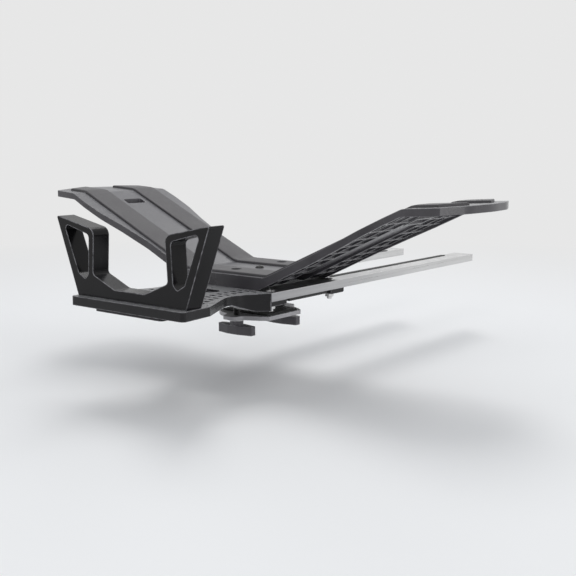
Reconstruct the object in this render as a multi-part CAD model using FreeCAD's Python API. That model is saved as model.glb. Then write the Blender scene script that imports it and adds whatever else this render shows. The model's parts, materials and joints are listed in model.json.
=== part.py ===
"""Kayak saddle carrier with a rear loading tray, for a roof crossbar.

Millimetres, +Z up. X runs across the car, +Y runs forward and the loading tray
points to -Y. The origin is the middle of the crossbar's top face: the crossbar
lies along X below Z = 0, between the liners and the clamp jaw.
"""
import math
import os

import FreeCAD
import Part

V = FreeCAD.Vector

# crossbar and clamp
BAR_W = 76.0
BAR_H = 21.0
BAR_CLEAR = 1.0
LINER_T = 3.5
BOLT_D = 8.0
BOLT_CLEAR = 0.5
THREAD_CLEAR = 0.05
HEAD_D = 17.0
HEAD_H = 4.5
JAW_T = 5.0
JAW_W = 80.0
JAW_PLATE_T = 2.5
JAW_LINER_T = 2.0
PLATE_HALF = 9.0
LUG_HALF = 12.0
WASHER_T = 1.5
WASHER_D = 20.0
HUB_H = 5.5
HUB_D = 16.0
WING_H = 10.5
WING_L = 52.0
NUT_AF = 13.0
NUT_H = 6.5

# tray and rails
TRAY_T = 10.0
TRAY_SKIN = 3.0
TRAY_REAR = -219.0
TRAY_HALF = 86.0
TRAY_CORNER = 4.5
WAIST_HALF = 50.5
WAIST_Y = -114.0
WAIST_R = 50.0
BLOCK_L = 32.0
BLOCK_DEEP = 7.0
VENT_L = 8.0
VENT_W = 5.0
VENT_PITCH = 11.4
RAIL_IN = 45.0
RAIL_OUT = 76.0
RAIL_END = 410.0
RAIL_WALL = 2.2
RAIL_BOLT_X = 63.5
RAIL_BOLT_D = 6.0
RAIL_NUT_AF = 10.0
LEDGE_Z = -2.0
LEDGE_GAP = 5.0
TOE_L = 27.0
FIT = 0.3

# saddle
BASE_H = 15.0
BASE_HALF = 61.0
FOOT_HALF = 52.0
BEND_X = 248.0
BEND_RISE = 86.0
TIP_X = 307.0
TIP_RISE = 3.6
RIM_TIP = 8.0
SHELL = 3.6
WALL = 3.2
RIB_T = 1.8
RIB_PITCH = 19.0
PAD_IN = 24.0
PAD_OUT = 61.0
PAD_T = 4.0
PAD_SEAT = 1.0
SLOT_X = 220.5
SLOT_W = 11.0
SLOT_L = 31.0

# horns
HORN_Y = -211.0
HORN_DEPTH = 22.0
HORN_FOOT = 82.0
HORN_TOP = 115.0
HORN_RISE = 86.0
VALLEY_HALF = 23.0
VALLEY_RISE = 11.0
HORN_WALL = 8.0

BAR_HALF = BAR_W / 2
BOLT_Y = BAR_HALF + BAR_CLEAR + BOLT_D / 2
LEDGE_FROM = BAR_HALF + LEDGE_GAP
BLOCK_Y = -BAR_HALF - BLOCK_L
RAIL_BOLT_Y = (LEDGE_FROM + BAR_HALF + BLOCK_L) / 2 + 0.5
TRAY_LOW = LINER_T
TRAY_TOP = TRAY_LOW + TRAY_T
SEAT_Z = TRAY_TOP + BASE_H
JAW_TOP = -BAR_H - JAW_LINER_T
JAW_LOW = JAW_TOP - JAW_T
HUB_TOP = JAW_LOW - WASHER_T
WING_TOP = HUB_TOP - HUB_H
WING_LOW = WING_TOP - WING_H
BOLT_END = WING_LOW + 3.0
HEAD_Z = SEAT_Z - PAD_SEAT - HEAD_H


def rounded(points, radii, place):
    """Face bounded by a polygon whose corners carry arcs; place maps (u, v) to 3-D."""
    n = len(points)
    corners = []
    for i in range(n):
        p = V(points[i][0], points[i][1], 0)
        a = V(points[i - 1][0], points[i - 1][1], 0)
        b = V(points[(i + 1) % n][0], points[(i + 1) % n][1], 0)
        r = radii[i] if isinstance(radii, (list, tuple)) else radii
        if r <= 0:
            corners.append((p, None, p))
            continue
        d1 = (a - p).normalize()
        d2 = (b - p).normalize()
        angle = d1.getAngle(d2)
        if angle > math.pi - 0.02:
            corners.append((p, None, p))
            continue
        room = 0.48 * min(a.distanceToPoint(p), b.distanceToPoint(p))
        t = min(r / math.tan(angle / 2), room)
        r = t * math.tan(angle / 2)
        bis = (d1 + d2).normalize()
        mid = p + bis * (r / math.sin(angle / 2) - r)
        corners.append((p + d1 * t, mid, p + d2 * t))
    edges = []
    for i in range(n):
        start, mid, end = corners[i]
        if mid is not None:
            arc = Part.Arc(place(start.x, start.y), place(mid.x, mid.y), place(end.x, end.y))
            edges.append(arc.toShape())
        nxt = corners[(i + 1) % n][0]
        if end.distanceToPoint(nxt) > 0.001:
            edges.append(Part.makeLine(place(end.x, end.y), place(nxt.x, nxt.y)))
    return Part.Face(Part.Wire(edges))


def plan(points, radii, z0, z1):
    """Prism of a plan outline between two heights."""
    face = rounded(points, radii, lambda u, v: V(u, v, z0))
    return face.extrude(V(0, 0, z1 - z0))


def front(points, radii, y0, y1):
    """Prism of an X-Z outline between two Y stations."""
    face = rounded(points, radii, lambda u, v: V(u, y0, v))
    return face.extrude(V(0, y1 - y0, 0))


def side(points, radii, x0, x1):
    """Prism of a Y-Z outline between two X stations."""
    face = rounded(points, radii, lambda u, v: V(x0, u, v))
    return face.extrude(V(x1 - x0, 0, 0))


def box(x0, x1, y0, y1, z0, z1):
    return Part.makeBox(x1 - x0, y1 - y0, z1 - z0, V(x0, y0, z0))


def rod(d, x, y, z0, z1):
    return Part.makeCylinder(d / 2, z1 - z0, V(x, y, z0), V(0, 0, 1))


def hexagon(af, x, y, z0, z1, turn=0.0):
    r = af / math.sqrt(3)
    pts = []
    for k in range(6):
        a = math.radians(60 * k + turn)
        pts.append((x + r * math.cos(a), y + r * math.sin(a)))
    return plan(pts, 0, z0, z1)


def fuse(first, others):
    return first.fuse(others).removeSplitter()


def mirror_x(shape):
    return shape.mirror(V(0, 0, 0), V(1, 0, 0))


def mirror_y(shape):
    return shape.mirror(V(0, 0, 0), V(0, 1, 0))


# saddle sections


def top_line(lift):
    """Upper line of the V from tip to tip, lifted off the rim's own height."""
    z = SEAT_Z + lift
    reach = TIP_X + 20
    slope = TIP_RISE / (TIP_X - BEND_X)
    tip_z = z + BEND_RISE + slope * (reach - BEND_X)
    right = [(BASE_HALF, z), (BEND_X, z + BEND_RISE), (reach, tip_z)]
    left = [(-x, h) for x, h in reversed(right)]
    return left + right


def low_line(lift):
    """Lower line of the rim: flat foot, then rising to the shallow tips."""
    z = TRAY_TOP + lift
    reach = TIP_X + 20
    slope = TIP_RISE / (TIP_X - BEND_X)
    bend_z = SEAT_Z + BEND_RISE - RIM_TIP + lift
    tip_z = bend_z + slope * (reach - BEND_X)
    right = [(FOOT_HALF, z), (BEND_X - 2, bend_z), (reach, tip_z)]
    left = [(-x, h) for x, h in reversed(right)]
    return left + right


def band(low, high, y0, y1, soft):
    """Solid between two V lines over a Y range."""
    points = high + list(reversed(low))
    n = len(high)
    radii = [0] + [soft] * (n - 2) + [0] + [0] + [soft] * (n - 2) + [0]
    return front(points, radii, y0, y1)


def outline(inset, z0, z1):
    """Plan of the saddle: narrow at the foot, flared and rounded at the tips."""
    quarter = [(62.0, 66.0, 40), (125.0, 66.0, 60), (166.0, 72.5, 60), (197.0, 80.0, 60),
               (226.0, 82.0, 80), (252.0, 80.5, 80), (286.0, 77.0, 5), (301.0, 42.0, 60)]
    grow = TIP_X - 307.0
    pts = []
    for x, y, r in quarter:
        dx = inset if x > 270 else 0.0
        pts.append((x + (grow if x > 240 else 0.0) - dx, y - inset, max(r - inset * 0.5, 4)))
    ring = [(x, -y, r) for x, y, r in pts]
    ring += [(TIP_X - inset, 0.0, 90)]
    ring += [(x, y, r) for x, y, r in reversed(pts)]
    ring += [(-x, y, r) for x, y, r in pts]
    ring += [(-TIP_X + inset, 0.0, 90)]
    ring += [(-x, -y, r) for x, y, r in reversed(pts)]
    return plan([(x, y) for x, y, r in ring], [r for x, y, r in ring], z0, z1)


def pad_plan(y0, y1, grow, z0, z1):
    """Plan of one pad strip, its ends following the rounded tip."""
    strip = box(-400, 400, y0 - grow, y1 + grow, z0, z1)
    return strip.common(outline(11.0 - grow, z0, z1))


def rib_grid():
    """Crossing ribs of the two pad fields under each wing."""
    walls = []
    for s in (-1, 1):
        for y in (PAD_IN - 3, (PAD_IN + PAD_OUT) / 2, PAD_OUT):
            walls.append(box(-400, 400, s * y - RIB_T / 2, s * y + RIB_T / 2, 0, 200))
    field = BASE_HALF + 8
    while field < TIP_X - 8:
        for s in (-1, 1):
            for side_y in (-1, 1):
                a = side_y * (PAD_IN - 3)
                b = side_y * 95
                x = s * field
                walls.append(box(x - RIB_T / 2, x + RIB_T / 2, min(a, b), max(a, b), 0, 200))
        field += RIB_PITCH
    for x in (-41, 41):
        walls.append(box(x - RIB_T / 2, x + RIB_T / 2, -95, 95, 0, 200))
    return walls


def slot_cut(x, length, width, z0, z1):
    h = length / 2
    w = width / 2
    pts = [(x - w, -h), (x + w, -h), (x + w, h), (x - w, h)]
    return plan(pts, 2.0, z0, z1)


def saddle():
    body = band(low_line(0), top_line(0), -100, 100, 14).common(outline(0, 0, 200))
    hollow = band(low_line(-30), top_line(-SHELL), -100, 100, 12)
    hollow = hollow.common(outline(WALL, 0, 200))
    ribs = band(low_line(2.2), top_line(-SHELL + 1), -100, 100, 12)
    grid = rib_grid()
    lattice = ribs.common(grid[0].fuse(grid[1:]))
    bosses = []
    for y in (-BOLT_Y, 0.0, BOLT_Y):
        bosses.append(rod(HEAD_D + 6, 0, y, TRAY_TOP, SEAT_Z - 2))
    for s in (-1, 1):
        frame = slot_cut(s * SLOT_X, SLOT_L + 6, SLOT_W + 6, 0, 200)
        inner = band(low_line(1.5), top_line(-1), -100, 100, 12)
        bosses.append(frame.common(inner))
    hollow = hollow.cut([lattice] + bosses)
    body = body.cut(hollow)
    cuts = []
    for y0, y1 in ((-PAD_OUT, -PAD_IN), (PAD_IN, PAD_OUT)):
        seat = band(top_line(-PAD_SEAT), top_line(PAD_T + 5), y0 - 5, y1 + 5, 14)
        cuts.append(seat.common(pad_plan(y0, y1, FIT, 0, 200)))
    for s in (-1, 1):
        cuts.append(slot_cut(s * SLOT_X, SLOT_L, SLOT_W, 40, 160))
    for y in (-BOLT_Y, BOLT_Y):
        cuts.append(rod(HEAD_D + 2 * FIT, 0, y, HEAD_Z, SEAT_Z + 10))
        cuts.append(rod(BOLT_D + 2 * BOLT_CLEAR, 0, y, 0, SEAT_Z))
    cuts.append(rod(RAIL_BOLT_D + 2 * BOLT_CLEAR, 0, 0, 0, SEAT_Z + 10))
    return body.cut(cuts)


def pad(y0, y1):
    strip = band(top_line(-PAD_SEAT), top_line(PAD_T - PAD_SEAT), y0 - 5, y1 + 5, 14)
    strip = strip.common(pad_plan(y0, y1, 0, 0, 200))
    y = BOLT_Y if y0 > 0 else -BOLT_Y
    return strip.cut(rod(13.0, 0, y, 0, 200))


# tray


def tray_outline(inset, z0, z1):
    """Waisted plan of the tray behind the crossbar, with its tongue between the rails."""
    tongue = RAIL_IN - FIT - inset
    ledge = RAIL_OUT - inset
    tongue_end = LEDGE_FROM + TOE_L - inset
    right = [(TRAY_HALF - inset, TRAY_REAR + inset, TRAY_CORNER), (TRAY_HALF - 4 - inset, WAIST_Y - 62, 6.0),
             (WAIST_HALF - inset, WAIST_Y, WAIST_R), (ledge - 4, BLOCK_Y - 6 - inset, 10.0),
             (ledge, BLOCK_Y - inset, 0), (tongue, BLOCK_Y - inset, 0),
             (tongue, tongue_end, 6.0)]
    left = [(-x, y, r) for x, y, r in reversed(right)]
    ring = right + left
    return plan([(x, y) for x, y, r in ring], [r for x, y, r in ring], z0, z1)


def gussets():
    """Deep cheeks that hook behind and in front of the crossbar and carry the rails."""
    low = TRAY_LOW - BLOCK_DEEP - LINER_T
    rear_pts = [(WAIST_Y, TRAY_LOW + 2), (WAIST_Y, TRAY_LOW), (BLOCK_Y - 16, low + 1), (BLOCK_Y, low),
                (BLOCK_Y, LEDGE_Z), (-LEDGE_FROM, LEDGE_Z), (-LEDGE_FROM, TRAY_LOW),
                (BLOCK_Y, TRAY_LOW), (BLOCK_Y, TRAY_LOW + 2)]
    cheek = side(rear_pts, [0, 0, 6, 0, 0, 1.5, 0, 0, 0], RAIL_IN - 4, RAIL_OUT)
    shape = tray_outline(0, -40, 60).fuse(box(RAIL_IN - 4, RAIL_OUT, BLOCK_Y - 1, 0, -40, 60))
    cheek = cheek.common(shape)
    front_pts = [(LEDGE_FROM, TRAY_LOW), (LEDGE_FROM, LEDGE_Z), (LEDGE_FROM + TOE_L, LEDGE_Z),
                 (LEDGE_FROM + TOE_L, TRAY_LOW)]
    toe = side(front_pts, [0, 1.5, 2.5, 0], RAIL_IN - 4, RAIL_OUT)
    shapes = [cheek, toe]
    for y0, y1 in ((BLOCK_Y - 5, -LEDGE_FROM), (LEDGE_FROM, LEDGE_FROM + TOE_L - 7)):
        shapes.append(box(RAIL_IN - 4, RAIL_IN - FIT, y0, y1, LEDGE_Z + 1, TRAY_TOP - 1))
    return shapes + [mirror_x(shape) for shape in shapes]


def vents():
    """Two rows of openings along each edge of the tray's top that follow its waist."""
    cuts = []
    for k in range(9):
        y = BLOCK_Y - 5.8 - VENT_PITCH * k
        spread = 0.34 * max(0.0, WAIST_Y - 6 - y)
        rows = [WAIST_HALF - 16.5 + spread, WAIST_HALF - 5.5 + spread]
        if k == 0:
            rows.append(WAIST_HALF + 5)
        for row in rows:
            for s in (-1, 1):
                cuts.append(box(s * row - VENT_L / 2, s * row + VENT_L / 2, y - VENT_W / 2, y + VENT_W / 2,
                                TRAY_TOP - TRAY_SKIN - 1, TRAY_TOP + 1))
    return cuts


def tray_pockets():
    """Hollow underside between the walls, ribs and screw bosses."""
    room = tray_outline(3.2, TRAY_LOW - 1, TRAY_TOP - TRAY_SKIN)
    keep = []
    for x in (-60, -28, 28, 60):
        keep.append(box(x - 1, x + 1, -300, 100, -50, 60))
    for y in (-182, -148, WAIST_Y, BLOCK_Y - 2, -BAR_HALF, BAR_HALF):
        keep.append(box(-100, 100, y - 1, y + 1, -50, 60))
    for y in (-BOLT_Y, 0.0, BOLT_Y):
        keep.append(rod(HEAD_D + 4, 0, y, -50, 60))
    for x in (-70, -30, 30, 70):
        keep.append(rod(13, x, HORN_Y + HORN_DEPTH / 2, -50, 60))
    return room.cut(keep)


def loader_tray():
    body = tray_outline(0, TRAY_LOW, TRAY_TOP)
    lip = plan([(-51, TRAY_REAR + 4), (51, TRAY_REAR + 4), (51, TRAY_REAR + 36),
                (-51, TRAY_REAR + 36)], 4.0, 0.0, TRAY_LOW + 2)
    lip = lip.cut(plan([(-48, TRAY_REAR + 7), (48, TRAY_REAR + 7), (48, TRAY_REAR + 33),
                        (-48, TRAY_REAR + 33)], 2.0, -1.0, TRAY_LOW + 3))
    body = body.cut(tray_pockets())
    body = body.fuse([lip] + gussets())
    cuts = vents()
    cuts.append(plan([(-22, -110), (22, -110), (22, -90), (-22, -90)], 9.5, TRAY_LOW - 1, TRAY_TOP + 1))
    for y in (-BOLT_Y, BOLT_Y):
        cuts.append(rod(BOLT_D + 2 * BOLT_CLEAR, 0, y, -20, 60))
    cuts.append(rod(RAIL_BOLT_D + 2 * BOLT_CLEAR, 0, 0, -20, 60))
    for s in (-1, 1):
        for y in (-RAIL_BOLT_Y, RAIL_BOLT_Y):
            cuts.append(rod(RAIL_BOLT_D + 2 * BOLT_CLEAR, s * RAIL_BOLT_X, y, -20, 60))
            cuts.append(hexagon(RAIL_NUT_AF + 2 * FIT, s * RAIL_BOLT_X, y, -20, LEDGE_Z))
    for x in (-70, -30, 30, 70):
        cuts.append(rod(5.0 + 2 * BOLT_CLEAR, x, HORN_Y + HORN_DEPTH / 2, -20, 60))
    return body.cut(cuts)


# horns


def horn_bracket():
    z = TRAY_TOP
    top_out = z + HORN_RISE
    inner = 54.0
    pts = [(-HORN_FOOT, z), (HORN_FOOT, z), (HORN_TOP, top_out), (inner, top_out - 12.5),
           (inner + 3, z + 25), (VALLEY_HALF, z + VALLEY_RISE), (-VALLEY_HALF, z + VALLEY_RISE),
           (-inner - 3, z + 25), (-inner, top_out - 12.5), (-HORN_TOP, top_out)]
    radii = [0, 0, 1.5, 9, 5, 8, 8, 5, 9, 1.5]
    body = front(pts, radii, HORN_Y, HORN_Y + HORN_DEPTH)
    wall = HORN_WALL
    win = [(HORN_FOOT - wall + 6.5, z + 25), (HORN_TOP - wall - 4, top_out - wall),
           (inner + wall, top_out - wall - 10.5), (inner + wall + 2.5, z + 24), (inner + 16, z + 19)]
    window = front(win, [3, 4, 5, 5, 3], HORN_Y - 1, HORN_Y + HORN_DEPTH + 1)
    body = body.cut([window, mirror_x(window)])
    holes = []
    for x in (-70, -30, 30, 70):
        holes.append(rod(5.0 + 2 * THREAD_CLEAR, x, HORN_Y + HORN_DEPTH / 2, z - 1, z + 8.5))
    return body.cut(holes)


def horn_screw(x):
    y = HORN_Y + HORN_DEPTH / 2
    head_z = TRAY_LOW - 2.8
    head = rod(9.5, x, y, head_z, TRAY_LOW)
    head = head.makeChamfer(0.7, [head.Edges[2]]) if len(head.Edges) > 2 else head
    shank = rod(5.0, x, y, TRAY_LOW, TRAY_TOP + 8.0)
    socket = hexagon(4.0, x, y, head_z - 1, head_z + 1.6)
    return fuse(head, [shank]).cut(socket)


# rails


def rail(sign):
    y0 = BLOCK_Y + FIT
    body = box(RAIL_IN, RAIL_OUT, y0, RAIL_END, TRAY_LOW, TRAY_TOP)
    core = box(RAIL_IN + RAIL_WALL, RAIL_OUT - RAIL_WALL, y0 - 1, RAIL_END + 1,
               TRAY_LOW + RAIL_WALL, TRAY_TOP - RAIL_WALL)
    slot_x = RAIL_IN + 5.2
    slot = plan([(slot_x - 2.4, 78), (slot_x + 2.4, 78), (slot_x + 2.4, RAIL_END - 44),
                 (slot_x - 2.4, RAIL_END - 44)], 2.3, TRAY_TOP - RAIL_WALL - 1, TRAY_TOP + 1)
    cuts = [core, slot]
    for y in (-RAIL_BOLT_Y, RAIL_BOLT_Y):
        cuts.append(rod(RAIL_BOLT_D + 2 * BOLT_CLEAR, RAIL_BOLT_X, y, 0, 30))
    body = body.cut(cuts)
    return body if sign > 0 else mirror_x(body)


def rail_bolt(sign, y):
    x = sign * RAIL_BOLT_X
    head = Part.makeCone(5.5, 4.2, 2.0, V(x, y, TRAY_TOP), V(0, 0, 1))
    shank = rod(RAIL_BOLT_D, x, y, LEDGE_Z - 8.0, TRAY_TOP)
    socket = hexagon(3.0, x, y, TRAY_TOP + 0.7, TRAY_TOP + 3)
    return fuse(head, [shank]).cut(socket)


def rail_nut(sign, y):
    x = sign * RAIL_BOLT_X
    z = LEDGE_Z
    body = hexagon(RAIL_NUT_AF, x, y, z - 5.0, z)
    return body.cut(rod(RAIL_BOLT_D + 2 * THREAD_CLEAR, x, y, z - 6, z + 1))


def rail_liner(sign):
    pts = [(RAIL_IN + 1, 1 - BAR_HALF), (RAIL_OUT - 1, 1 - BAR_HALF),
           (RAIL_OUT - 1, BAR_HALF - 1), (RAIL_IN + 1, BAR_HALF - 1)]
    body = plan(pts, 2.0, 0.0, TRAY_LOW)
    return body if sign > 0 else mirror_x(body)


# clamp


def crossbar_liner():
    w = RAIL_IN - 2
    pts = [(-w, 1 - BAR_HALF), (w, 1 - BAR_HALF), (w, BAR_HALF - 1), (-w, BAR_HALF - 1)]
    body = plan(pts, 3.0, 0.0, TRAY_LOW)
    grooves = []
    for k in range(-3, 3):
        x = k * 12 + 6
        grooves.append(box(x - 1.2, x + 1.2, -60, 60, -1, 1.0))
    return body.cut(grooves)


def jaw_plan(inset, z0, z1):
    """Clamp jaw in plan: a wide middle under the bar with cut corners and a lug at each bolt."""
    w = JAW_W / 2 - inset
    lug = LUG_HALF - inset
    mid = BAR_HALF - inset
    end = BOLT_Y + HEAD_D - 1 - inset
    quarter = [(lug - 2, end, 7.0), (lug, mid + 8, 4.0), (w - 9, mid - 1, 1.5), (w, mid - 8, 1.5)]
    ring = [(x, -y, r) for x, y, r in quarter]
    ring += [(x, y, r) for x, y, r in reversed(quarter)]
    ring += [(-x, y, r) for x, y, r in quarter]
    ring += [(-x, -y, r) for x, y, r in reversed(quarter)]
    return plan([(x, y) for x, y, r in ring], [r for x, y, r in ring], z0, z1)


def plate_plan(grow, z0, z1):
    """Steel strip that runs from bolt to bolt in the jaw's underside."""
    w = PLATE_HALF + grow
    end = BOLT_Y + WASHER_D / 2 + 0.5 + grow
    return plan([(-w, -end), (w, -end), (w, end), (-w, end)], 6.0 + grow, z0, z1)


def clamp_jaw():
    body = jaw_plan(0, JAW_LOW, JAW_TOP)
    cuts = [plate_plan(FIT, JAW_LOW - 1, JAW_LOW + JAW_PLATE_T)]
    step = (BAR_W - 10) / 3
    for s in (-1, 1):
        for k in (-1, 0, 1):
            x0 = PLATE_HALF + 4.5
            x1 = JAW_W / 2 - 3 if k == 0 else JAW_W / 2 - 8
            y = k * step
            pts = [(s * x0, y - step / 2 + 1), (s * x1, y - step / 2 + 1), (s * x1, y + step / 2 - 1),
                   (s * x0, y + step / 2 - 1)]
            cuts.append(plan(pts, 1.5, JAW_LOW - 1, JAW_TOP - 2.5))
    for y in (-BOLT_Y, BOLT_Y):
        cuts.append(rod(BOLT_D + 2 * BOLT_CLEAR, 0, y, JAW_LOW - 5, JAW_TOP + 5))
        sign = 1 if y > 0 else -1
        outer = sign * (BOLT_Y + HEAD_D + 1)
        wedge = side([(sign * (BOLT_Y + WASHER_D / 2 + 0.5), JAW_LOW - 1), (outer, JAW_LOW - 1),
                      (outer, JAW_LOW + 2.5)], 0, -40, 40)
        cuts.append(wedge)
    return body.cut(cuts)


def jaw_plate():
    body = plate_plan(0, JAW_LOW, JAW_LOW + JAW_PLATE_T)
    cuts = [rod(BOLT_D + 2 * BOLT_CLEAR, 0, y, JAW_LOW - 5, 0) for y in (-BOLT_Y, BOLT_Y)]
    return body.cut(cuts)


def jaw_liner():
    w = JAW_W / 2 - 4
    h = BAR_HALF - 9
    body = plan([(-w, -h), (w, -h), (w, h), (-w, h)], 3.0, JAW_TOP, JAW_TOP + JAW_LINER_T)
    grooves = []
    for k in range(-3, 3):
        x = k * 10 + 5
        grooves.append(box(x - 1.0, x + 1.0, -60, 60, JAW_TOP + JAW_LINER_T - 0.9, 0))
    return body.cut(grooves)


def carriage_bolt(y):
    r = HEAD_D / 2
    dome = (r * r + HEAD_H * HEAD_H) / (2 * HEAD_H)
    ball = Part.makeSphere(dome, V(0, y, HEAD_Z + HEAD_H - dome))
    head = ball.common(rod(HEAD_D, 0, y, HEAD_Z, HEAD_Z + HEAD_H))
    shank = rod(BOLT_D, 0, y, BOLT_END + 1, HEAD_Z)
    tip = Part.makeCone(BOLT_D / 2 - 1, BOLT_D / 2, 1, V(0, y, BOLT_END), V(0, 0, 1))
    return fuse(head, [shank, tip])


def washer(y):
    body = rod(WASHER_D, 0, y, JAW_LOW - WASHER_T, JAW_LOW)
    return body.cut(rod(BOLT_D + 2 * BOLT_CLEAR, 0, y, JAW_LOW - 5, JAW_LOW + 1))


def wing_knob(y):
    """T-shaped wing knob: a tapered bar whose middle bulges round the captive nut."""
    half = WING_L / 2
    hub = HUB_D / 2
    pts = [(-half, y - 4.0), (-hub, y - hub), (hub - 1, y - hub), (half, y - 4.0), (half, y + 4.0),
           (hub, y + hub), (1 - hub, y + hub), (-half, y + 4.0)]
    bar = plan(pts, [1.5, 5, 5, 1.5, 1.5, 5, 5, 1.5], WING_LOW, WING_TOP)
    body = fuse(bar, [rod(HUB_D, 0, y, WING_TOP, HUB_TOP)])
    nut_top = HUB_TOP - 0.6
    cuts = [rod(BOLT_D + 1.2, 0, y, BOLT_END - 1, HUB_TOP + 1),
            hexagon(NUT_AF + 0.1, 0, y, nut_top - NUT_H, HUB_TOP + 1)]
    return body.cut(cuts)


def knob_nut(y):
    top = HUB_TOP - 0.6
    body = hexagon(NUT_AF, 0, y, top - NUT_H, top)
    return body.cut(rod(BOLT_D + 2 * THREAD_CLEAR, 0, y, top - 20, top + 5))


def centre_screw():
    z = SEAT_Z
    head = Part.makeCone(5.5, 4.0, 2.6, V(0, 0, z), V(0, 0, 1))
    shank = rod(RAIL_BOLT_D, 0, 0, TRAY_LOW + 0.5 - 0.3, z)
    socket = hexagon(4.0, 0, 0, z + 1.0, z + 4)
    return fuse(head, [shank]).cut(socket)


def build():
    nodes = {
        "saddle": saddle(),
        "rear_pad": pad(-PAD_OUT, -PAD_IN),
        "front_pad": pad(PAD_IN, PAD_OUT),
        "loader_tray": loader_tray(),
        "horn_bracket": horn_bracket(),
        "left_rail": rail(-1),
        "right_rail": rail(1),
        "left_rail_liner": rail_liner(-1),
        "right_rail_liner": rail_liner(1),
        "crossbar_liner": crossbar_liner(),
        "clamp_jaw": clamp_jaw(),
        "jaw_plate": jaw_plate(),
        "jaw_liner": jaw_liner(),
        "rear_bolt": carriage_bolt(-BOLT_Y),
        "front_bolt": carriage_bolt(BOLT_Y),
        "rear_washer": washer(-BOLT_Y),
        "front_washer": washer(BOLT_Y),
        "rear_knob": wing_knob(-BOLT_Y),
        "front_knob": wing_knob(BOLT_Y),
        "rear_knob_nut": knob_nut(-BOLT_Y),
        "front_knob_nut": knob_nut(BOLT_Y),
        "centre_screw": centre_screw(),
    }
    for tag, sign in (("left", -1), ("right", 1)):
        for end, y in (("rear", -RAIL_BOLT_Y), ("front", RAIL_BOLT_Y)):
            nodes[tag + "_" + end + "_rail_bolt"] = rail_bolt(sign, y)
            nodes[tag + "_" + end + "_rail_nut"] = rail_nut(sign, y)
    for name, x in (("outer_left", -70), ("inner_left", -30), ("inner_right", 30), ("outer_right", 70)):
        nodes[name + "_horn_screw"] = horn_screw(x)
    return nodes


def main():
    os.makedirs("parts", exist_ok=True)
    for name, shape in build().items():
        solids = shape.Solids
        print(name, "solids", len(solids), "valid", shape.isValid(), "volume", round(shape.Volume, 1))
        shape.exportStep("parts/" + name + ".step")


main()
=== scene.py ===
"""Looks of the kayak saddle carrier: materials, rolled edges, pads, threads and rail inserts."""
import json
import math

import bmesh
import bpy
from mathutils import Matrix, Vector


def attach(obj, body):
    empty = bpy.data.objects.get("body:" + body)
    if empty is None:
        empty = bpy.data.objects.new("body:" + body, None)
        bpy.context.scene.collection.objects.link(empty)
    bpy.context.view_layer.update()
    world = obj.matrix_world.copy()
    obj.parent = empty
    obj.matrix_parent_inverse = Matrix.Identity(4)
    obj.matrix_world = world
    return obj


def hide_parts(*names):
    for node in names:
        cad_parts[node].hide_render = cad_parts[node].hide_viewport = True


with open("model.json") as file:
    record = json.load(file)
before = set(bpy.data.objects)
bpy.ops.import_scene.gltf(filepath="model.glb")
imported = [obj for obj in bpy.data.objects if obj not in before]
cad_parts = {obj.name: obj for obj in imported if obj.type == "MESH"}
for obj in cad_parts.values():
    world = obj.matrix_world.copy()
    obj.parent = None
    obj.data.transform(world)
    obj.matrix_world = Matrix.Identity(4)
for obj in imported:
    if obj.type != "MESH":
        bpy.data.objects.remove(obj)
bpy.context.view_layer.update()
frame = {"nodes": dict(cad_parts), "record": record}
NODES = frame["nodes"]
MM = 0.001

# camera, solved from the photograph
CAMERA_AT = (0.71634, -0.85158, 0.17467)
CAMERA_AZIMUTH = 38.3
CAMERA_PITCH = -8.74
CAMERA_LENS = 57.6
SENSOR = 36.0

FLOOR_Z = -0.105
FLOOR_HALF = 12.0
FLOOR_PAINT = 0.86
PALE = 0.8          # strength of the pale background that the camera and reflections see
SKY = 0.55          # strength of the soft sky that lights the part

# sizes of the part in millimetres
TRAY_TOP = 13.5
SEAT_Z = 28.5
BASE_HALF = 61.0
BEND_X = 248.0
BEND_RISE = 86.0
TIP_SLOPE = 3.6 / 59.0
PAD_IN = 24.0
PAD_OUT = 61.0
PAD_T = 4.0
PAD_SEAT = 1.0
PAD_EDGE = 1.3
PAD_HOLE = 13.0
PAD_CROWN = 0.25
PAD_TIP = ((20.0, 292.0), (24.0, 291.3), (31.0, 289.2), (40.0, 286.0), (50.0, 281.8), (61.0, 277.1))
BEND_REACH = 3.0
BOLT_Y = 43.0
BOLT_END = -42.5
NECK_R = 3.95
NECK_LOW = 0.5
THREAD_ROOT = 3.25
THREAD_CREST = 3.97
THREAD_PITCH = 1.25
HEAD_Z = 23.0
HEAD_R = 8.5
HEAD_RIM = 0.6
HEAD_DOME = 3.9
RAIL_SLOT_X = 50.2
RAIL_SLOT_Y = (78.0, 366.0)
STRIP_R = 2.25
STRIP_DEEP = 2.1
STRIP_LIP = 3.9
STRIP_PROUD = 0.95


def add(tree, kind, values=None, **settings):
    """New node whose named or numbered inputs take values or links."""
    node = tree.nodes.new(kind)
    for key, value in settings.items():
        setattr(node, key, value)
    for key, value in (values or {}).items():
        if isinstance(value, bpy.types.NodeSocket):
            tree.links.new(value, node.inputs[key])
        else:
            node.inputs[key].default_value = value
    return node


def new_material(name):
    mat = bpy.data.materials.new(name)
    mat.use_nodes = True
    mat.node_tree.nodes.clear()
    return mat, mat.node_tree


def coords(tree, scale=(1, 1, 1)):
    """Object coordinates in metres, stretched along the axes."""
    source = add(tree, "ShaderNodeTexCoord").outputs["Object"]
    return add(tree, "ShaderNodeMapping", {"Vector": source, "Scale": scale}).outputs[0]


def noise(tree, vector, scale, detail=3.0, rough=0.55):
    node = add(tree, "ShaderNodeTexNoise", {"Vector": vector, "Scale": scale, "Detail": detail,
                                            "Roughness": rough})
    return node.outputs[0]


def span(tree, value, low, high, out_low, out_high):
    node = add(tree, "ShaderNodeMapRange", {0: value, 1: low, 2: high, 3: out_low, 4: out_high})
    return node.outputs[0]


def times(tree, a, b):
    return add(tree, "ShaderNodeMath", {0: a, 1: b}, operation="MULTIPLY").outputs[0]


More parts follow.
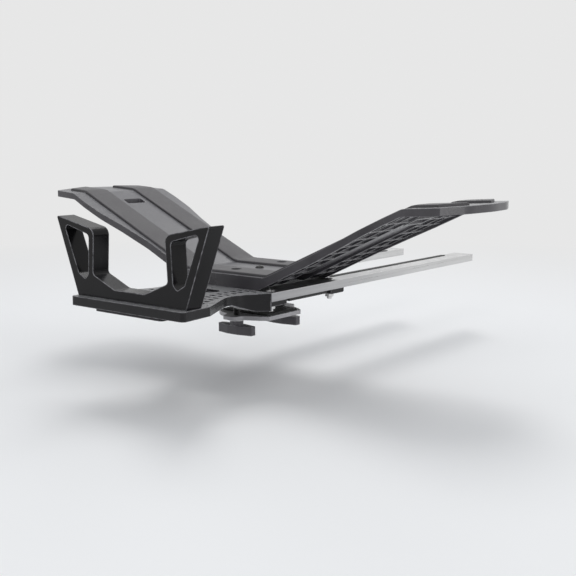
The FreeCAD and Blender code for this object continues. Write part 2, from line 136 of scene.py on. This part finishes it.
def plus(tree, a, b):
    return add(tree, "ShaderNodeMath", {0: a, 1: b}, operation="ADD").outputs[0]


def blend_colour(tree, factor, a, b):
    node = add(tree, "ShaderNodeMix", {0: factor, 6: a, 7: b}, data_type="RGBA")
    return node.outputs[2]


def shade(value, tint=(1, 1, 1)):
    return (value * tint[0], value * tint[1], value * tint[2], 1)


def rolled(tree, radius):
    """Normal of a surface whose edges are rolled over with that radius."""
    return add(tree, "ShaderNodeBevel", {"Radius": radius}, samples=8).outputs[0]


def edge_mask(tree, radius):
    """1 on the edges, in a band a little wider than their rolled radius."""
    wide = rolled(tree, radius * 1.6)
    flat = add(tree, "ShaderNodeNewGeometry").outputs["Normal"]
    dot = add(tree, "ShaderNodeVectorMath", {0: wide, 1: flat}, operation="DOT_PRODUCT")
    return span(tree, dot.outputs["Value"], 0.995, 0.88, 0.0, 1.0)


def up_mask(tree, low=0.55, high=0.95):
    """1 where the surface looks up, where a dusty film settles; it also carries tops painted lighter as a
    sky reflection.
    """
    normal = add(tree, "ShaderNodeNewGeometry").outputs["Normal"]
    up = add(tree, "ShaderNodeSeparateXYZ", {0: normal}).outputs[2]
    return span(tree, up, low, high, 0.0, 1.0)


def surface(tree, colour, rough, normal=None, **sockets):
    values = {"Base Color": colour, "Roughness": rough}
    if normal is not None:
        values["Normal"] = normal
    values.update({key.replace("_", " "): value for key, value in sockets.items()})
    shader = add(tree, "ShaderNodeBsdfPrincipled", values)
    add(tree, "ShaderNodeOutputMaterial", {"Surface": shader.outputs[0]})
    return shader


def moulded(name, colour, rough, grain, spec, dust_and_sky_reflection=0.10, wear_and_edge_highlight=0.5, tint=(1.0, 0.94, 1.06), edge=0.9,
            sheen=0.0):
    """Moulded nylon: fine spark grain, cloudy gloss, a dusty film on top with a painted sky reflection,
    and worn edges with a painted edge highlight.
    """
    mat, tree = new_material(name)
    place = coords(tree)
    soft = rolled(tree, edge * MM)
    rim = edge_mask(tree, edge * MM)
    fine = noise(tree, place, 1900, 2.0)
    cloud = noise(tree, place, 26, 4.0)
    hair = noise(tree, coords(tree, (260, 22, 90)), 9, 3.0, 0.7)
    film = span(tree, noise(tree, place, 300, 5.0, 0.65), 0.35, 0.7, 0.7, 1.0)
    sky_reflection_and_dust_mask = times(tree, up_mask(tree), film)
    base = blend_colour(tree, span(tree, cloud, 0.3, 0.7, 0, 1), shade(colour * 0.8, tint),
                        shade(colour * 1.25, tint))
    # tops painted lighter: a dusty film plus a painted reflection of the sky
    base = blend_colour(tree, times(tree, sky_reflection_and_dust_mask, dust_and_sky_reflection), base, shade(0.26, (1.0, 1.0, 1.06)))
    # edges painted lighter: worn edges plus a painted edge highlight
    rubbed_and_highlit_edge = times(tree, rim, span(tree, noise(tree, place, 160, 4.0), 0.35, 0.62, 0.25, 1.0))
    base = blend_colour(tree, times(tree, rubbed_and_highlit_edge, wear_and_edge_highlight), base, shade(0.30, (1.0, 0.98, 1.04)))
    gloss = plus(tree, span(tree, cloud, 0.25, 0.75, rough - 0.04, rough + 0.06), times(tree, sky_reflection_and_dust_mask, 0.08))
    gloss = plus(tree, gloss, span(tree, hair, 0.6, 0.8, 0.0, 0.05))
    bump = add(tree, "ShaderNodeBump", {"Height": fine, "Strength": 0.35, "Distance": grain,
                                        "Normal": soft})
    surface(tree, base, gloss, bump.outputs[0], Specular_IOR_Level=spec, Sheen_Weight=sheen,
            Sheen_Roughness=0.25)
    return mat


def rubber(name, colour, rough, grain, tint=(1, 1, 1), sheen=0.0, edge=0.6):
    """Moulded rubber with a leathery pebble grain, chalky high spots that also paint a sky reflection on
    top, and edges painted lighter: worn, with a painted edge highlight.
    """
    mat, tree = new_material(name)
    place = coords(tree)
    soft = rolled(tree, edge * MM)
    rim = edge_mask(tree, edge * MM)
    pebble = add(tree, "ShaderNodeTexVoronoi", {"Vector": place, "Scale": 900}).outputs[0]
    cloud = noise(tree, place, 34, 5.0)
    chalk_and_sky_reflection = span(tree, noise(tree, place, 160, 5.0, 0.7), 0.5, 0.8, 0.0, 0.35)
    base = blend_colour(tree, span(tree, cloud, 0.3, 0.7, 0, 1), shade(colour * 0.85, tint),
                        shade(colour * 1.15, tint))
    # chalky spots on top, also a painted reflection of the sky
    base = blend_colour(tree, times(tree, up_mask(tree), chalk_and_sky_reflection), base, shade(colour * 1.9, tint))
    # edges painted lighter: worn edges plus a painted edge highlight
    base = blend_colour(tree, times(tree, rim, 0.3), base, shade(colour * 2.2, tint))
    bump = add(tree, "ShaderNodeBump", {"Height": pebble, "Strength": 0.5, "Distance": grain,
                                        "Normal": soft})
    surface(tree, base, span(tree, cloud, 0.3, 0.7, rough - 0.05, rough + 0.06), bump.outputs[0],
            Specular_IOR_Level=0.4, Sheen_Weight=sheen, Sheen_Roughness=0.4)
    return mat


def rail_metal(name, colour, rough):
    """Anodised aluminium drawn along Y, painted darker towards the clamp end as shade from the saddle, and
    a little grimy on top.
    """
    mat, tree = new_material(name)
    soft = rolled(tree, 0.5 * MM)
    lines = noise(tree, coords(tree, (900, 5, 900)), 1.0, 4.0, 0.6)
    cloud = noise(tree, coords(tree), 30, 4.0)
    speck = noise(tree, coords(tree), 1300, 2.0, 0.7)
    along = add(tree, "ShaderNodeSeparateXYZ", {0: coords(tree)}).outputs[1]
    base = blend_colour(tree, span(tree, lines, 0.3, 0.7, 0, 1), shade(colour * 0.84), shade(colour))
    base = blend_colour(tree, span(tree, speck, 0.5, 0.8, 0, 0.30), base, shade(colour * 0.5))
    # painted shade: darker towards the clamp end, in the shadow of the saddle's wing
    base = blend_colour(tree, span(tree, along, -0.07, 0.26, 0.62, 0.0), base,
                        shade(colour * 0.30, (1.0, 0.99, 1.06)))
    soil = times(tree, up_mask(tree, 0.8, 0.98), span(tree, cloud, 0.3, 0.7, 0.05, 0.35))
    base = blend_colour(tree, soil, base, shade(0.085, (1.0, 1.0, 1.05)))
    gloss = plus(tree, span(tree, lines, 0.3, 0.7, rough - 0.05, rough + 0.08),
                 span(tree, cloud, 0.4, 0.7, 0.0, 0.06))
    gloss = plus(tree, gloss, times(tree, soil, 0.25))
    metal = span(tree, soil, 0.0, 1.0, 1.0, 0.15)
    bump = add(tree, "ShaderNodeBump", {"Height": lines, "Strength": 0.25, "Distance": 0.00006,
                                        "Normal": soft})
    surface(tree, base, gloss, bump.outputs[0], Metallic=metal, Specular_IOR_Level=0.25)
    return mat


def plated(name, colour, rough, tint=(1, 1, 1)):
    """Plated steel with a cloudy passivated skin."""
    mat, tree = new_material(name)
    place = coords(tree)
    soft = rolled(tree, 0.35 * MM)
    cloud = noise(tree, place, 260, 5.0, 0.7)
    base = blend_colour(tree, span(tree, cloud, 0.35, 0.65, 0, 1), shade(colour * 0.75, tint),
                        shade(colour, tint))
    bump = add(tree, "ShaderNodeBump", {"Height": noise(tree, place, 2500, 2.0), "Strength": 0.3,
                                        "Distance": 0.00003, "Normal": soft})
    gloss = span(tree, cloud, 0.3, 0.7, rough - 0.06, rough + 0.1)
    surface(tree, base, gloss, bump.outputs[0], Metallic=1.0)
    return mat


MATERIALS = {
    "saddle_plastic": moulded("saddle_nylon", 0.045, 0.29, 0.00003, 0.42, dust_and_sky_reflection=0.38, wear_and_edge_highlight=0.5, sheen=0.12),
    "tray_plastic": moulded("tray_nylon", 0.008, 0.20, 0.00003, 0.24, dust_and_sky_reflection=0.42, wear_and_edge_highlight=0.85, sheen=0.45),
    "horn_plastic": moulded("horn_nylon", 0.005, 0.15, 0.00002, 0.20, dust_and_sky_reflection=0.05, wear_and_edge_highlight=0.9, edge=1.2),
    "jaw_plastic": moulded("jaw_nylon", 0.36, 0.42, 0.00004, 0.4, tint=(1.0, 0.98, 1.02)),
    "knob_plastic": moulded("knob_nylon", 0.06, 0.36, 0.00004, 0.4, wear_and_edge_highlight=0.8),
    "pad_foam": rubber("pad_rubber", 0.055, 0.55, 0.00005, (1.0, 0.95, 1.02), 0.1),
    "liner_rubber": rubber("liner_rubber", 0.012, 0.6, 0.00005),
    "rail_metal": rail_metal("rail_aluminium", 0.66, 0.30),
    "plate_steel": moulded("plate_coat", 0.018, 0.45, 0.00006, 0.4),
    "bolt_steel": plated("bolt_zinc", 0.62, 0.28),
    # dark bolt plate: painted shade for bolts that sit in the shadow under the tray
    "bolt_black": plated("bolt_plate_painted_shade", 0.06, 0.30),
}


def dress(obj, slot):
    mat = MATERIALS[slot]
    if not obj.material_slots:
        obj.data.materials.append(mat)
    for place in obj.material_slots:
        place.material = mat


def join_flat(obj):
    """Weld the imported faces together and join the flat ones."""
    weld = obj.modifiers.new("weld", "WELD")
    weld.merge_threshold = 0.00002
    flat = obj.modifiers.new("flat", "DECIMATE")
    flat.decimate_type = "DISSOLVE"
    flat.angle_limit = math.radians(0.4)


def round_edges(obj, width, segments, angle=32.0):
    bevel = obj.modifiers.new("round", "BEVEL")
    bevel.width = width
    bevel.segments = segments
    bevel.limit_method = "ANGLE"
    bevel.angle_limit = math.radians(angle)
    bevel.use_clamp_overlap = True
    normals = obj.modifiers.new("normals", "WEIGHTED_NORMAL")
    normals.mode = "FACE_AREA"
    normals.weight = 60
    normals.keep_sharp = False


SLOT_OF = {part["node"]: part["material_slot"] for part in frame["record"]["subparts"]}
EDGE = {"horn_bracket": 0.7, "left_rail": 0.4, "right_rail": 0.4, "rear_knob": 0.8, "front_knob": 0.8}
SMALL_EDGE = 0.3


def dress_nodes():
    for name, obj in NODES.items():
        dress(obj, SLOT_OF[name])
        for polygon in obj.data.polygons:
            polygon.use_smooth = True
        join_flat(obj)
        round_edges(obj, EDGE.get(name, SMALL_EDGE) * MM, 2)


def piece(name, bm, body, slot, replaced=(), smooth=35.0):
    """Object from a bmesh in millimetres, dressed, riding on a body and standing for CAD nodes."""
    bmesh.ops.recalc_face_normals(bm, faces=bm.faces)
    for edge in bm.edges:
        if len(edge.link_faces) == 2 and edge.calc_face_angle() > math.radians(smooth):
            edge.smooth = False
    for face in bm.faces:
        face.smooth = True
    bmesh.ops.scale(bm, vec=(MM, MM, MM), verts=bm.verts)
    mesh = bpy.data.meshes.new(name)
    bm.to_mesh(mesh)
    bm.free()
    obj = bpy.data.objects.new(name, mesh)
    bpy.context.scene.collection.objects.link(obj)
    dress(obj, slot)
    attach(obj, body)
    if replaced:
        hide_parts(*replaced)
    return obj


def ring_of(bm, radius, z, centre, count):
    x, y = centre
    turn = 2 * math.pi / count
    return [bm.verts.new((x + radius * math.cos(k * turn), y + radius * math.sin(k * turn), z))
            for k in range(count)]


def join_rings(bm, low, high):
    n = len(low)
    for k in range(n):
        bm.faces.new((low[k], low[(k + 1) % n], high[(k + 1) % n], high[k]))


def lathe(bm, profile, centre, count=32):
    """Closed turned form through (radius, z) pairs from bottom to top."""
    rings = [ring_of(bm, r, z, centre, count) for r, z in profile]
    for low, high in zip(rings, rings[1:]):
        join_rings(bm, low, high)
    bm.faces.new(list(reversed(rings[0])))
    bm.faces.new(rings[-1])


def thread(bm, root, crest, pitch, z0, z1, centre, count=18):
    """Helical thread from z0 up to z1 between two radii."""
    x, y = centre
    steps = int((z1 - z0 - pitch) / pitch * count)
    inner = []
    outer = []
    for k in range(steps + count + 1):
        a = 2 * math.pi * k / count
        z = z0 + pitch * k / count
        c, s = math.cos(a), math.sin(a)
        inner.append(bm.verts.new((x + root * c, y + root * s, z - pitch / 2)))
        outer.append(bm.verts.new((x + crest * c, y + crest * s, z)))
    for k in range(steps):
        bm.faces.new((inner[k], inner[k + 1], outer[k + 1], outer[k]))
        bm.faces.new((outer[k], outer[k + 1], inner[k + 1 + count], inner[k + count]))


def carriage_bolt(name, y):
    """Domed head, plain neck and a rolled M8 thread down to the chamfered tip."""
    bm = bmesh.new()
    centre = (0, y)
    dome = [(HEAD_R * math.cos(a), HEAD_Z + HEAD_RIM + HEAD_DOME * math.sin(a))
            for a in [math.radians(d) for d in (0, 12, 26, 42, 58, 72, 84)]]
    neck = [(NECK_R, NECK_LOW), (NECK_R, HEAD_Z - 0.1), (HEAD_R - 0.2, HEAD_Z)]
    lathe(bm, neck + dome, centre, 40)
    core = THREAD_ROOT + 0.05
    lathe(bm, [(core - 0.6, BOLT_END), (core, BOLT_END + 0.8), (core, NECK_LOW + 0.3)], centre, 18)
    thread(bm, THREAD_ROOT, THREAD_CREST, THREAD_PITCH, BOLT_END + 1.4, NECK_LOW + 0.4, centre)
    # the dark plate of this slot is painted shade
    return piece(name + "_threaded", bm, "carrier", "bolt_black", (name,), 25.0)


def line_height(x):
    """Height of the saddle's upper line at x, with its two bends rounded."""
    x = abs(x)
    slope = BEND_RISE / (BEND_X - BASE_HALF)
    bends = ((BASE_HALF, 0.0, slope, SEAT_Z), (BEND_X, slope, TIP_SLOPE, SEAT_Z + BEND_RISE))
    reach = BEND_REACH
    for at, before, after, z in bends:
        if abs(x - at) < reach:
            t = (x - at + reach) / (2 * reach)
            start = z - before * reach
            return start + 2 * reach * (before * t + (after - before) * t * t / 2)
    if x < BASE_HALF:
        return SEAT_Z
    if x < BEND_X:
        return SEAT_Z + slope * (x - BASE_HALF)
    return SEAT_Z + BEND_RISE + TIP_SLOPE * (x - BEND_X)


def pad_end(y):
    """Half length of a pad at y, following the rounded tip of the saddle."""
    y = abs(y)
    for (y0, x0), (y1, x1) in zip(PAD_TIP, PAD_TIP[1:]):
        if y <= y1:
            return x0 + (x1 - x0) * (y - y0) / (y1 - y0)
    return PAD_TIP[-1][1]


def edge_stations(length, edge, gap):
    """Distances from one end to the other, close together at both rolled edges."""
    near = [0.0, edge * 0.08, edge * 0.3, edge * 0.62, edge]
    count = max(2, int(round((length - 2 * edge) / gap)))
    middle = [edge + (length - 2 * edge) * k / count for k in range(1, count)]
    return near + middle + [length - d for d in reversed(near)]


def pad_lift(d):
    """Thickness at a distance from the pad's edge."""
    if d >= PAD_EDGE:
        return PAD_T
    return PAD_T - PAD_EDGE + math.sqrt(max(0.0, PAD_EDGE ** 2 - (PAD_EDGE - d) ** 2))


def soft_pad(name, sign):
    """Rubber pad strip: rolled edges, a slight crown, soft bends and a hole over the bolt."""
    bm = bmesh.new()
    width = PAD_OUT - PAD_IN
    across = edge_stations(width, PAD_EDGE, 4.0)
    along = edge_stations(1.0, PAD_EDGE / 285.0, 1 / 96.0)
    rows = []
    floor = []
    for u in along:
        row = []
        low = []
        for v in across:
            y = sign * (PAD_IN + v)
            end = pad_end(y)
            x = end * (2 * u - 1)
            d = min(v, width - v, end - abs(x))
            crown = PAD_CROWN * (1 - (2 * v / width - 1) ** 2)
            z = line_height(x) - PAD_SEAT
            row.append(bm.verts.new((x, y, z + pad_lift(d) + crown * min(1.0, d / 6))))
            low.append(bm.verts.new((x, y, z + 0.05)))
        rows.append(row)
        floor.append(low)
    for grid in (rows, floor):
        for a, b in zip(grid, grid[1:]):
            for k in range(len(a) - 1):
                bm.faces.new((a[k], a[k + 1], b[k + 1], b[k]))
    n, m = len(rows), len(across)
    rim = [(i, 0) for i in range(n)] + [(n - 1, k) for k in range(1, m)]
    rim += [(i, m - 1) for i in range(n - 2, -1, -1)] + [(0, k) for k in range(m - 2, 0, -1)]
    for (i, k), (j, l) in zip(rim, rim[1:] + rim[:1]):
        bm.faces.new((rows[i][k], rows[j][l], floor[j][l], floor[i][k]))
    obj = piece(name + "_rubber", bm, "carrier", "pad_foam", (name,))
    punch_hole(obj, (0, sign * BOLT_Y), PAD_HOLE / 2, SEAT_Z - 10, SEAT_Z + 10)
    return obj


def punch_hole(obj, centre, radius, z0, z1):
    """Cut a round hole and keep the result in the mesh."""
    bm = bmesh.new()
    lathe(bm, [(radius, z0), (radius, z1)], centre, 40)
    bmesh.ops.scale(bm, vec=(MM, MM, MM), verts=bm.verts)
    bmesh.ops.recalc_face_normals(bm, faces=bm.faces)
    mesh = bpy.data.meshes.new("punch")
    bm.to_mesh(mesh)
    bm.free()
    tool = bpy.data.objects.new("punch", mesh)
    bpy.context.scene.collection.objects.link(tool)
    cut = obj.modifiers.new("hole", "BOOLEAN")
    cut.operation = "DIFFERENCE"
    cut.object = tool
    ready = obj.evaluated_get(bpy.context.evaluated_depsgraph_get())
    result = bpy.data.meshes.new_from_object(ready)
    obj.modifiers.clear()
    obj.data = result
    bpy.data.objects.remove(tool)


def rail_strip(name, sign):
    """Black insert in the slot of the rail's top face, with a rounded lip that lies on the face."""
    bm = bmesh.new()
    y0, y1 = RAIL_SLOT_Y
    end = STRIP_R + 0.15
    layers = [(STRIP_R, TRAY_TOP - STRIP_DEEP), (STRIP_R, TRAY_TOP), (STRIP_LIP, TRAY_TOP),
              (STRIP_LIP, TRAY_TOP + STRIP_PROUD - 0.55), (STRIP_LIP - 0.4, TRAY_TOP + STRIP_PROUD - 0.15),
              (STRIP_LIP - 1.6, TRAY_TOP + STRIP_PROUD)]
    rings = []
    for radius, z in layers:
        ring = []
        for k in range(25):
            a = math.pi * k / 24
            ring.append((radius * math.cos(a), y1 - end + radius * math.sin(a)))
        for k in range(25):
            a = math.pi + math.pi * k / 24
            ring.append((radius * math.cos(a), y0 + end + radius * math.sin(a)))
        rings.append([bm.verts.new((sign * RAIL_SLOT_X + x, y, z)) for x, y in ring])
    for low, high in zip(rings, rings[1:]):
        join_rings(bm, low, high)
    bm.faces.new(list(reversed(rings[0])))
    bm.faces.new(rings[-1])
    return piece(name, bm, "carrier", "liner_rubber")


def make_camera():
    data = bpy.data.cameras.new("camera")
    data.lens = CAMERA_LENS
    data.sensor_width = SENSOR
    data.clip_start = 0.01
    data.clip_end = 100
    camera = bpy.data.objects.new("camera", data)
    bpy.context.scene.collection.objects.link(camera)
    a = math.radians(CAMERA_AZIMUTH)
    p = math.radians(CAMERA_PITCH)
    look = Vector((-math.sin(a) * math.cos(p), math.cos(a) * math.cos(p), math.sin(p)))
    camera.location = CAMERA_AT
    camera.rotation_mode = "QUATERNION"
    camera.rotation_quaternion = look.to_track_quat("-Z", "Y")
    bpy.context.scene.camera = camera


def seen_ray(tree):
    """1 for camera, glossy and transmission rays."""
    path = add(tree, "ShaderNodeLightPath")
    glossy = plus(tree, path.outputs["Is Glossy Ray"], path.outputs["Is Transmission Ray"])
    return add(tree, "ShaderNodeMath", {0: glossy, 1: path.outputs["Is Camera Ray"]}, operation="ADD",
               use_clamp=True).outputs[0]


def make_world():
    world = bpy.data.worlds.new("studio")
    bpy.context.scene.world = world
    world.use_nodes = True
    tree = world.node_tree
    tree.nodes.clear()
    soft = add(tree, "ShaderNodeBackground", {"Color": (0.93, 0.96, 1.0, 1), "Strength": SKY})
    pale = add(tree, "ShaderNodeBackground", {"Color": (1, 1, 1, 1), "Strength": PALE})
    mix = add(tree, "ShaderNodeMixShader", {0: seen_ray(tree), 1: soft.outputs[0], 2: pale.outputs[0]})
    add(tree, "ShaderNodeOutputWorld", {"Surface": mix.outputs[0]})


def make_floor():
    mesh = bpy.data.meshes.new("floor")
    r = FLOOR_HALF
    mesh.from_pydata([(-r, -r, FLOOR_Z), (r, -r, FLOOR_Z), (r, r, FLOOR_Z), (-r, r, FLOOR_Z)], [],
                     [(0, 1, 2, 3)])
    floor = bpy.data.objects.new("floor", mesh)
    bpy.context.scene.collection.objects.link(floor)
    mat, tree = new_material("floor_paint")
    place = add(tree, "ShaderNodeTexCoord").outputs["Object"]
    far = add(tree, "ShaderNodeVectorMath", {0: place}, operation="LENGTH").outputs["Value"]
    far = span(tree, far, 0.65, 1.7, 0.0, 1.0)
    paint = add(tree, "ShaderNodeBsdfDiffuse", {"Color": shade(FLOOR_PAINT)})
    pale = add(tree, "ShaderNodeEmission", {"Color": (1, 1, 1, 1), "Strength": PALE})
    reach = times(tree, far, seen_ray(tree))
    mix = add(tree, "ShaderNodeMixShader", {0: reach, 1: paint.outputs[0], 2: pale.outputs[0]})
    add(tree, "ShaderNodeOutputMaterial", {"Surface": mix.outputs[0]})
    mesh.materials.append(mat)


def area_light(name, at, target, size, power):
    data = bpy.data.lights.new(name, "AREA")
    data.shape = "RECTANGLE"
    data.size = size[0]
    data.size_y = size[1]
    data.energy = power
    lamp = bpy.data.objects.new(name, data)
    bpy.context.scene.collection.objects.link(lamp)
    lamp.location = at
    lamp.rotation_mode = "QUATERNION"
    lamp.rotation_quaternion = (Vector(target) - Vector(at)).to_track_quat("-Z", "Y")


def make_lights():
    area_light("overhead", (-0.5, 0.6, 2.1), (0, 0, 0), (0.7, 1.6), 17)
    area_light("side", (2.1, 0.25, 0.42), (0.1, 0, 0), (0.5, 1.0), 10)
    area_light("front", (1.5, 2.0, 0.45), (0.1, 0.1, 0), (0.6, 0.6), 4)
    area_light("back", (-0.8, 2.1, 1.5), (0, 0, 0.05), (0.9, 0.7), 4)
    area_light("rear_left", (-1.3, -1.9, 0.45), (0, 0, 0.02), (0.6, 0.6), 5)
    area_light("rear_right", (0.8, -1.9, 1.2), (0, 0, 0.02), (0.7, 0.7), 9)


make_camera()
make_world()
make_floor()
make_lights()
dress_nodes()
soft_pad("rear_pad", -1)
soft_pad("front_pad", 1)
carriage_bolt("rear_bolt", -BOLT_Y)
carriage_bolt("front_bolt", BOLT_Y)
rail_strip("left_rail_strip", -1)
rail_strip("right_rail_strip", 1)

bpy.context.scene.view_settings.view_transform = "Standard"
